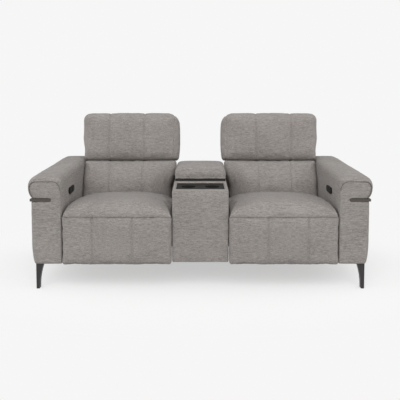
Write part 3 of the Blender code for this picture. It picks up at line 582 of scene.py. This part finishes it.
def headrest_cover():
    """Boxed cushion with two channels and a gusset on its inner side. It is widest over the arm, and
    slimmer low down, where it passes the arm as the back reclines."""
    over_arm = 0.016
    full_width_height = 0.17
    roll_height = 0.055
    roll_depth = 0.030
    gusset_width = 0.032
    low, high = span("headrest", on_back)
    high[0] = BAY_SIDE + over_arm
    held_base = low[2] + 0.010
    held_rear = high[1] - 0.012
    channel_rear = high[1] - 0.04

    def outer_limit(points):
        return BAY_SIDE + over_arm * ramp(points[:, 2], low[2] + roll_height, low[2] + full_width_height)

    mesh = stuffed(low, high, rounds=((0.060, 0.040), (0.040, 0.050), (0.016, 0.046)),
                   crowns={(1, -1): 0.018, (1, 1): 0.010, (2, 1): 0.006, (0, -1): 0.012}, voxel=0.008)
    points = points_of(mesh)
    under = np.clip((low[2] + roll_height - points[:, 2]) / roll_height, 0, 1)
    front = ramp(points[:, 1], high[1] - 0.10, low[1] + 0.03)
    points[:, 1] += roll_depth * (1 - np.sqrt(1 - 0.96 * under ** 2)) * front
    points[:, 0] = np.minimum(points[:, 0], outer_limit(points))
    set_points(mesh, points)
    lines = channels(low[0], high[0])
    gusset = low[0] + gusset_width
    held = (points[:, 2] < held_base) | (points[:, 1] > held_rear)
    held |= on_lines(points, (*lines, gusset), channel_rear)
    mesh = finer(puffed(mesh, held, pressure=3.0, reach=0.005))
    seams = seams_at(lines, front_and_top, DEEP_CHANNEL) + seams_at([gusset], everywhere, GUSSET_SEAM)
    mesh = clear_of(sewn(mesh, seams, seed=1), 2, low=low[2])
    points = points_of(mesh)
    points[:, 0] = np.minimum(points[:, 0], outer_limit(points))
    set_points(mesh, points)
    return mesh


def back_cover():
    """The lower back: full at the lumbar, tucked under the headrest, drawn in low down by the console."""
    tuck = 0.044
    drawn_in = 0.036
    set_back = 0.050
    tuck_height = 0.16
    channel_rear = -0.09
    low, high = span("back_cushion", on_back)
    low[0], high[0] = -BAY_SIDE, BAY_SIDE
    held_rear = high[1] - 0.015
    mesh = stuffed(low, high, rounds=((0.026, 0.016), (0.050, 0.012), (0.050, 0.014)),
                   crowns={(1, -1): 0.030}, voxel=0.008, fullness=2.4)
    points = points_of(mesh)
    front = ramp(points[:, 1], high[1] - 0.02, low[1] + 0.06)
    points[:, 1] += tuck * front * ramp(points[:, 2], high[2] - tuck_height, high[2])
    inner = ramp(points[:, 0], -0.15, low[0]) * ramp(points[:, 2], high[2] - 0.04, low[2] + 0.10)
    points[:, 0] += drawn_in * inner
    points[:, 1] += set_back * inner * front
    set_points(mesh, points)
    lines = channels(low[0], high[0])
    held = (points[:, 1] > held_rear) | on_lines(points, lines, channel_rear)
    mesh = finer(puffed(mesh, held, pressure=4.0, reach=0.014))
    seams = seams_at(lines, front_and_top, DEEP_CHANNEL)
    mesh = clear_of(sewn(mesh, seams, seed=2), 0, -BAY_SIDE, BAY_SIDE)
    return clear_of(clear_of(mesh, 2, high=high[2]), 1, high=high[1])


PAD_LOW, PAD_HIGH = span("footrest_pad", in_bay)
BOARD_TOP = span("footrest_board", in_bay)[1][2]
CREST_Y = PAD_LOW[1] + CREST_SETBACK


def crest(y):
    """Height of the footrest's top, which falls from its front towards the seat."""
    return BOARD_TOP + CREST_SLOPE * (PAD_HIGH[1] - np.maximum(y, CREST_Y))


def seat_cover():
    """The seat: full along the arm, and domed, with a nose that leans over the footrest and meets it in a
    seam."""
    arm_side_drop = 0.026
    console_side_drop = 0.041
    rear_drop = 0.034
    rear_drop_start = -0.30
    nose_start = -0.335
    seam_height = 0.010
    lip_pull = (0, -0.0030, -0.0045)
    low, high = span("seat_cushion", in_bay)
    rear_of_footrest = low[1]
    low[:2] = -BAY_SIDE, CREST_Y - 0.003
    high[0] = BAY_SIDE
    held_base = low[2] + 0.014

    def lowest(points):
        """How low the cover may come: just over the footrest in front, and to its own underside behind."""
        over_footrest = np.maximum(crest(points[:, 1]), BOARD_TOP) + SNUG
        return np.where(points[:, 1] < rear_of_footrest, over_footrest, low[2])

    mesh = stuffed(low, high, rounds=((0.022, 0.016), (0.012, 0.040), (0.010, 0.020)),
                   crowns={}, voxel=0.008)
    points = points_of(mesh)
    across = np.clip(abs(points[:, 0] / BAY_SIDE), 0, 1)
    edge_drop = np.where(points[:, 0] > 0, arm_side_drop, console_side_drop)
    top = high[2] - edge_drop * across ** 2.3 - rear_drop * ramp(points[:, 1], rear_drop_start, high[1])
    nose = nose_start - low[1]
    turn = math.pi / 2 * np.clip((nose_start - points[:, 1]) / nose, 0, 1)
    points[:, 1] = np.where(turn > 0, nose_start - nose * np.sin(turn), points[:, 1])
    seam = crest(CREST_Y) + seam_height
    top = seam + (top - seam) * np.cos(turn)
    points[:, 2] = low[2] + (points[:, 2] - low[2]) * (top - low[2]) / (high[2] - low[2])
    set_points(mesh, points)
    held = points[:, 2] < held_base
    mesh = finer(puffed(mesh, held, pressure=3.5, reach=0.010))
    mesh = clear_of(sewn(mesh, [], seed=3), 0, -BAY_SIDE, BAY_SIDE)
    points = points_of(mesh)
    above = points[:, 2] - lowest(points)
    lip = ramp(above, 0.014, 0.003) * ramp(points[:, 1], low[1] + 0.014, low[1] + 0.003)
    points += lip[:, None] * lip_pull
    points[:, 1] = pressed(points[:, 1], low[1] - 0.002, 0.90)
    points[:, 2] = pressed(points[:, 2], lowest(points), 0.99)
    set_points(mesh, points)
    return cleaned(mesh)


def footrest_cover():
    """The front panel, with two channels; its top falls back from the seam below the seat's nose."""
    edge_pull = (0, -0.0035, 0.0050)
    low, high = PAD_LOW.copy(), PAD_HIGH.copy()
    low[0], high[0] = -BAY_SIDE, BAY_SIDE
    high[2] = crest(CREST_Y)
    held_rear = high[1] - 0.009
    channel_rear = low[1] + 0.03
    mesh = stuffed(low, high, rounds=((0.020, 0.014), (0.009, 0.008), (0.022, 0.008)),
                   crowns={(1, -1): 0.010}, voxel=0.0075, fullness=3.0)
    lines = channels(low[0], high[0])
    points = points_of(mesh)
    held = (points[:, 1] > held_rear) | on_lines(points, lines, channel_rear)
    mesh = finer(puffed(mesh, held, pressure=3.5, reach=0.006))
    seams = seams_at(lines, front_only, FLAT_CHANNEL)
    mesh = clear_of(sewn(mesh, seams, seed=4), 0, -BAY_SIDE, BAY_SIDE)
    points = points_of(mesh)
    edge = ramp(points[:, 2], high[2] - 0.014, high[2] - 0.004)
    edge *= ramp(points[:, 1], CREST_Y + 0.014, CREST_Y + 0.003)
    points += edge[:, None] * edge_pull
    near_top = ramp(points[:, 2], high[2] - 0.030, high[2] - 0.006)
    foremost = low[1] - 0.004 + (CREST_SETBACK + 0.0005) * near_top
    points[:, 1] = np.clip(points[:, 1], foremost, high[1])
    points[:, 2] = np.minimum(points[:, 2], crest(points[:, 1]))
    set_points(mesh, points)
    return cleaned(mesh)


def lid_cover():
    """The lid's pad: crowned, with a seam above a short skirt that hangs round the lid's board."""
    inset = 0.0015
    seam_height = 0.0175
    skirt_drop = 0.0065
    low, high = [np.array(corner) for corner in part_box("console_lid_pad")]
    high[0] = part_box("console_body")[1].x - inset
    low[0] = -high[0]
    held_base = low[2] + 0.010
    mesh = stuffed(low, high, rounds=((0.026, 0.026), (0.030, 0.030), (0.006, 0.036)),
                   crowns={(2, 1): 0.012}, voxel=0.007, pinches=[(0, 0.002, 1), (1, 0.002, 0)])
    held = points_of(mesh)[:, 2] < held_base
    mesh = finer(puffed(mesh, held, pressure=3.5, reach=0.004))
    seams = [(line_at(2, low[2] + seam_height), everywhere, *LID_SEAM)]
    mesh = clear_of(sewn(mesh, seams, seed=5), 2, low=low[2])
    points = points_of(mesh)
    board_low, board_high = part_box("console_lid_board")
    skirt = (abs(points[:, 0]) > board_high.x + SNUG) | (points[:, 1] < board_low.y - SNUG)
    points[:, 2] -= skirt_drop * skirt * ramp(points[:, 2], low[2] + 0.020, low[2] + 0.004)
    set_points(mesh, points)
    return mesh


pair("headrest_cover", headrest_cover(), "headrest", "headrest", on_back)
pair("back_cover", back_cover(), "back", "back_cushion", on_back)
pair("seat_cover", seat_cover(), "seat", "seat_cushion", in_bay)
pair("footrest_cover", footrest_cover(), "footrest", "footrest_pad", in_bay)
piece("console_lid_cover", lid_cover(), "console_lid", ["console_lid_pad"])


# Upholstered panels: arms, console, backs

def welded(name):
    """A copy of a frame node's mesh as one closed skin."""
    bm = bmesh.new()
    bm.from_mesh(nodes[name].data)
    bmesh.ops.remove_doubles(bm, verts=bm.verts, dist=WELD_DISTANCE)
    return mesh_from(bm, name)


def stretched_over(node, voxel, rounds=3):
    """A frame node's skin as an even mesh with softened edges."""
    return eased(even(welded(node), voxel), rounds)


def slab(profile, front, rear):
    """A flat outline in the front view, (x, z) points, made thick along Y."""
    bm = bmesh.new()
    ring = [bm.verts.new((x, front, z)) for x, z in profile]
    face = bm.faces.new(ring)
    thick = bmesh.ops.extrude_face_region(bm, geom=[face])
    moved = [item for item in thick["geom"] if isinstance(item, bmesh.types.BMVert)]
    bmesh.ops.translate(bm, verts=moved, vec=(0, rear - front, 0))
    bmesh.ops.recalc_face_normals(bm, faces=bm.faces)
    return mesh_from(bm, "slab")


def arc(centre, radii, start, end, steps=6):
    """Points of an elliptic arc in the front view, from start to end degrees."""
    points = []
    for turn in np.radians(np.linspace(start, end, steps + 1)):
        points.append((centre[0] + radii[0] * math.cos(turn), centre[1] + radii[1] * math.sin(turn)))
    return points


ARM_LOW, ARM_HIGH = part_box("right_arm")
ARM_PAD_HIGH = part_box("right_arm_pad")[1]
ARM_TOP = ARM_PAD_HIGH.z
ARM_MIDDLE = (ARM_LOW.y + ARM_HIGH.y) / 2

# The front cap of an arm, in the front view: its edge runs from the inner side over the top to the bulge,
# and under it
CAP_TOP = ARM_TOP - 0.028
CAP_BULGE = (ARM_PAD_HIGH.x - 0.009, ARM_TOP - 0.064)
CAP_UNDERSIDE = (0.042, 0.064)
CAP_EDGE = (arc((ARM_INNER + 0.046, CAP_TOP - 0.052), (0.046, 0.052), 180, 90)
            + arc((CAP_BULGE[0] - 0.040, CAP_BULGE[1]), (0.040, CAP_TOP - CAP_BULGE[1]), 90, 0)
            + arc((CAP_BULGE[0] - CAP_UNDERSIDE[0], CAP_BULGE[1]), CAP_UNDERSIDE, -10, -80))


def tube(route, radius):
    """A round cord along a route of points."""
    curve = bpy.data.curves.new("tube", 'CURVE')
    curve.dimensions = '3D'
    curve.bevel_depth = radius
    curve.bevel_resolution = 2
    curve.use_fill_caps = True
    spline = curve.splines.new('POLY')
    spline.points.add(len(route) - 1)
    for point, place in zip(spline.points, route):
        point.co = (*place, 1)
    guide = bpy.data.objects.new("tube", curve)
    scene.collection.objects.link(guide)
    mesh = bpy.data.meshes.new_from_object(guide.evaluated_get(bpy.context.evaluated_depsgraph_get()))
    bpy.data.objects.remove(guide)
    return mesh


def along_arm(points, power):
    """1 at the middle of the arm's length and 0 at its ends."""
    return np.clip(1 - (2 * (points[:, 1] - ARM_MIDDLE) / (ARM_HIGH.y - ARM_LOW.y)) ** power, 0, 1)


def rolled(points, base):
    """Lowers the arm's top towards its ends, more the higher a point lies over the base height, and fills
    it out between them, most towards the rear."""
    front_roll = (ARM_LOW.y + 0.0015, -1, 0.034)
    rear_roll = (ARM_HIGH.y, 1, 0.020)
    crown = ARM_TOP - 0.012
    for end, sign, roll in (front_roll, rear_roll):
        into = np.clip((sign * (points[:, 1] - end) + roll) / roll, 0, 0.98)
        drop = roll * (1 - np.sqrt(1 - into ** 2))
        points[:, 2] -= drop * ramp(points[:, 2], base, crown)
        points[:, 0] -= 0.35 * drop * ramp(points[:, 0], ARM_PAD_HIGH.x - 0.07, ARM_PAD_HIGH.x - 0.01)
    full = 0.005 * along_arm(points, 2) + 0.008 * ramp(points[:, 1], ARM_MIDDLE, ARM_HIGH.y - 0.06)
    points[:, 2] += full * ramp(points[:, 2], ARM_TOP - 0.05, crown)


def arm_panel():
    """The arm's inner, outer and front panels: the front one rises in a cap before the pad's end, and the
    inner one turns over the arm's inner edge."""
    cap_foot = ARM_HIGH.z - 0.064
    turn_foot = ARM_HIGH.z - 0.054
    turn_end = ARM_INNER + 0.046
    belly = 0.007
    cap = [(ARM_INNER, cap_foot), *CAP_EDGE, (CAP_BULGE[0] - CAP_UNDERSIDE[0], cap_foot)]
    inner_turn = arc((ARM_INNER + 0.034, ARM_TOP - 0.036), (0.034, 0.035), 180, 90)
    turned_edge = [(ARM_INNER, turn_foot), *inner_turn, (turn_end, ARM_TOP - 0.001), (turn_end, turn_foot)]
    mesh = joined(welded("right_arm"), slab(cap, ARM_LOW.y - 0.0015, ARM_LOW.y + 0.030),
                  slab(turned_edge, ARM_LOW.y + 0.006, ARM_HIGH.y - 0.001))
    mesh = eased(even(mesh, voxel=0.0055), rounds=3)
    points = points_of(mesh)
    rolled(points, CAP_TOP)
    outer_side = ramp(points[:, 0], ARM_HIGH.x - 0.08, ARM_HIGH.x - 0.01)
    below_trim = ramp(points[:, 2], ARM_HIGH.z - 0.104, ARM_HIGH.z - 0.164)
    points[:, 0] += belly * along_arm(points, 4) * outer_side * below_trim
    set_points(mesh, points)
    seams = seams_at([ARM_INNER + 0.0135], front_only, ARM_SEAM)
    return clear_of(sewn(mesh, seams, seed=6), 0, low=ARM_INNER - 0.0003)


def arm_pad():
    """The padded top of the arm: its end rolls down to the front cap, its outer edge over the trim."""
    behind_cap = ARM_LOW.y + 0.001
    beside_turn = ARM_INNER + 0.036
    mesh = stretched_over("right_arm_pad", voxel=0.006)
    points = points_of(mesh)
    rolled(points, ARM_TOP - 0.085)
    points[:, 1] = pressed(points[:, 1], behind_cap, 0.98)
    points[:, 0] = pressed(points[:, 0], beside_turn, 0.98)
    set_points(mesh, points)
    return sewn(finer(mesh), [], seed=7)


def arm_welt():
    """The piping between the front cap and the pad, sunk a little into both; its darker cloth is painted
    shade, the seam's shadow line.
    """
    middle_x = ARM_INNER + 0.09
    middle_z = CAP_BULGE[1]
    y = ARM_LOW.y + 0.0005
    route = []
    for x, z in CAP_EDGE:
        route.append((middle_x + 0.965 * (x - middle_x), y, middle_z + 0.975 * (z - middle_z)))
    return tube(route, radius=0.0026)


def console_panel():
    """The console's cover, round the tray and the bin's mouth, with a seam under its front lip."""
    front_depth = 0.02
    bulge = 0.005
    bulge_middle = 0.37
    bulge_reach = 0.21
    seam_drop = 0.0085
    low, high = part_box("console_body")
    side = high.x + 0.0015
    mesh = stretched_over("console_body", voxel=0.006)
    points = points_of(mesh)
    front = np.clip((low.y + front_depth - points[:, 1]) / front_depth, 0, 1)
    width = np.clip(1 - (points[:, 0] / high.x) ** 4, 0, 1)
    height = np.clip(1 - ((points[:, 2] - bulge_middle) / bulge_reach) ** 4, 0, 1)
    points[:, 1] -= bulge * front * width * height
    set_points(mesh, points)
    seams = [(line_at(2, high.z - seam_drop), front_only, *CONSOLE_SEAM)]
    return clear_of(sewn(mesh, seams, seed=8), 0, -side, side)


def back_panel():
    """The outside back: a stretched cover over the back's frame, with two seams down its rear face."""
    seam_place = 0.205
    mesh = stretched_over("right_back_shell", voxel=0.0065)
    mesh.transform(on_back(1).inverted())
    return sewn(mesh, seams_at((-seam_place, seam_place), rear_only, REAR_SEAM), seed=9)


# The flap between seat and back: its width, the places (y, z) of its two edges, and how far it sags
FLAP_WIDTH = 2 * (BAY_SIDE - 0.030)
FLAP_SEAT_EDGE = (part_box("right_seat_cushion")[1].y - 0.016, 0.428)
FLAP_BACK_EDGE = (FLAP_SEAT_EDGE[0] + 0.034, 0.416)
FLAP_SAG = 0.010


def back_flap():
    """The cloth that closes the slot between seat and back, with its length from edge to edge."""
    rows, columns = 14, 40

    def hanging(share):
        """The place (y, z) at a share of the way from the seat's edge to the back's."""
        y, z = np.array(FLAP_SEAT_EDGE) + share * (np.array(FLAP_BACK_EDGE) - FLAP_SEAT_EDGE)
        return y, z - FLAP_SAG * math.sin(math.pi * share)

    bm = bmesh.new()
    grid = bmesh.ops.create_grid(bm, x_segments=columns, y_segments=rows, size=0.5)
    for vert in grid["verts"]:
        vert.co = (FLAP_WIDTH * vert.co.x, *hanging(vert.co.y + 0.5))
    mesh = mesh_from(bm, "back_flap")
    length = sum(math.dist(hanging(row / rows), hanging((row + 1) / rows)) for row in range(rows))
    return changed(mesh, 'SOLIDIFY', thickness=0.003, offset=0.0), length


# What covers an arm: name, mesh, the frame nodes it hides, fill and finish
arm_covers = (("arm_panel", arm_panel(), ["arm"], 0.7, LINEN),
              ("arm_pad_cover", arm_pad(), ["arm_pad"], 0.8, LINEN),
              ("arm_welt", arm_welt(), [], None, SHADED_WELT_LINEN))
for name, side in SIDES:
    for word, mesh, hidden, fill, finish in arm_covers:
        replaced = [f"{name}_{node}" for node in hidden]
        piece(f"{name}_{word}", drawn_for(side, mesh), "frame", replaced, finish)
pair("back_panel", back_panel(), "back", "back_shell", on_back)
piece("console_panel", console_panel(), "frame", ["console_body"])
rear_cover = stretched_over("rear_panel", voxel=0.007, rounds=2)
piece("rear_panel_cover", sewn(rear_cover, [], seed=10), "frame", ["rear_panel"])

flap, flap_length = back_flap()
for name, side in SIDES:
    cover = flap.copy()
    cover.transform(in_bay(side))
    obj = shown(f"{name}_back_flap", cover, LINEN)
    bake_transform(obj)


# Hard parts keep their frame shapes, with softened edges

def finish_node(name, finish, edge):
    """Gives a frame node its finish, and rounds its edges by the width given."""
    obj = nodes[name]
    obj.data.materials.clear()
    obj.data.materials.append(finish)
    weld = obj.modifiers.new("weld", 'WELD')
    weld.merge_threshold = WELD_DISTANCE
    bevel = obj.modifiers.new("edge", 'BEVEL')
    bevel.width = edge
    bevel.segments = 3
    bevel.limit_method = 'ANGLE'
    bevel.angle_limit = math.radians(35)


# Parts of both sides: finish, width of their rounded edges, names
SIDE_PARTS = (
    (TRIM_METAL, 0.0012, ["arm_trim"]),
    (LEG_METAL, 0.0025, ["front_leg", "rear_leg"]),
    (BUTTON_PLASTIC, 0.0010, ["front_button", "rear_button"]),
    (BLACK_PLASTIC, 0.0012, ["control_panel"]),
    (BLACK_PLASTIC, 0.0020, ["recline_motor"]),
    (BLACK_PLASTIC, 0.0030, ["support_leg", "footrest_gearmotor"]),
    (BLACK_STEEL, 0.0006, ["headrest_hinge"]),
    (BLACK_STEEL, 0.0008, ["inner_crank", "outer_crank", "inner_link", "outer_link"]),
    (BLACK_STEEL, 0.0020, ["inner_base_rail", "outer_base_rail"]),
    (BRIGHT_STEEL, 0.0008, ["recline_rod", "footrest_shaft"]),
    (PLYWOOD, 0.0015, ["seat_box"]),
    (UNDERSIDE_CLOTH_AND_SHADE, 0.0012, ["footrest_board"]),
)
for name, side in SIDES:
    for finish, edge, parts in SIDE_PARTS:
        for part in parts:
            finish_node(f"{name}_{part}", finish, edge)
finish_node("cup_tray", TRAY_PLASTIC, 0.0015)
# The lid's board is dark so that its edge under the lid paints the shadow gap there (painted shade).
finish_node("console_lid_board", UNDERSIDE_CLOTH_AND_SHADE, 0.0010)
finish_node("lid_hinge", BLACK_STEEL, 0.0006)


# Studio: a pale floor, a dome, one wide lamp and the camera

BACKDROP = (0.922, 0.922, 0.922, 1)


def seen_directly(finish):
    """1 where a camera, a mirror or a clear piece looks straight at the backdrop, and 0 for its light."""
    rays = [finish.make('ShaderNodeLightPath', output=f"Is {kind} Ray")
            for kind in ("Camera", "Glossy", "Transmission")]
    return rays[0] + rays[1] + rays[2]


def studio_floor():
    """Pale paper. A camera sees part of it as its plain colour, so that the shadow stays light, and far
    from the object all of it, as the backdrop behind."""
    plain_share = 0.54
    fade = (0.42, 1.1)
    bm = bmesh.new()
    bmesh.ops.create_grid(bm, x_segments=1, y_segments=1, size=60.0)
    mesh = mesh_from(bm, "studio_floor")
    paper = material("pale_paper", {"Roughness": 0.95, "Specular IOR Level": 0.0})
    seen = seen_directly(paper)
    paper.feed("Base Color", paper.tint(seen, shades(BACKDROP[:3], 0.55), shades(BACKDROP[:3], 1.07)))
    glow = paper.make('ShaderNodeEmission', sockets={"Color": BACKDROP, "Strength": 1.0})
    narrowed = paper.stretch(paper.place(), (0.5, 1, 1))
    away = paper.make('ShaderNodeVectorMath', {"operation": 'LENGTH'}, {0: narrowed}, "Value")
    share = plain_share + (1 - plain_share) * away.between(*fade)
    paper.show(paper.mixed(seen * share, paper.lit(), glow))
    mesh.materials.append(paper.owner)
    floor = bpy.data.objects.new("studio_floor", mesh)
    scene.collection.objects.link(floor)


def studio_light():
    """A dome that is brighter in front than behind, and brightest at the sides, and one wide lamp."""
    white = (1, 1, 1, 1)
    dome = Finish(bpy.data.worlds.new("studio_dome"), {"Color": white, "Strength": 0.25}, "Background")
    scene.world = dome.owner
    front = dome.make('ShaderNodeBackground', sockets={"Color": white, "Strength": 0.78})
    sides = dome.make('ShaderNodeBackground', sockets={"Color": white, "Strength": 1.5})
    backdrop = dome.make('ShaderNodeBackground', sockets={"Color": BACKDROP, "Strength": 1.0})
    direction = dome.make('ShaderNodeTexCoord', output="Generated")
    sideways = abs(dome.part(direction, 0))
    towards = 0.5 * sideways - dome.part(direction, 1) - 0.5 * dome.part(direction, 2)
    lamps = dome.mixed(towards.between(-0.5, 0.7), dome.lit(), front)
    lamps = dome.mixed(sideways.between(0.35, 0.85), lamps, sides)
    dome.show(dome.mixed(seen_directly(dome), lamps, backdrop), "World Output")
    lamp = bpy.data.lights.new("wide_lamp", 'SUN')
    lamp.energy = 1.38
    lamp.angle = math.radians(50)
    key = bpy.data.objects.new("wide_lamp", lamp)
    key.rotation_euler = Vector((0.06, 0.88, -0.88)).to_track_quat('-Z', 'Y').to_euler()
    scene.collection.objects.link(key)


def photo_camera():
    tilt_down = 3.9
    lens = bpy.data.cameras.new("photo_camera")
    lens.sensor_width = 36.0
    lens.sensor_fit = 'HORIZONTAL'
    lens.lens = 50.76
    lens.shift_y = -0.200
    lens.clip_end = 200.0
    camera = bpy.data.objects.new("photo_camera", lens)
    camera.location = (-0.002, -3.68, 1.21)
    camera.rotation_euler = (math.radians(90 - tilt_down), 0, 0)
    scene.collection.objects.link(camera)
    scene.camera = camera


studio_floor()
studio_light()
photo_camera()
scene.view_settings.view_transform = 'Standard'
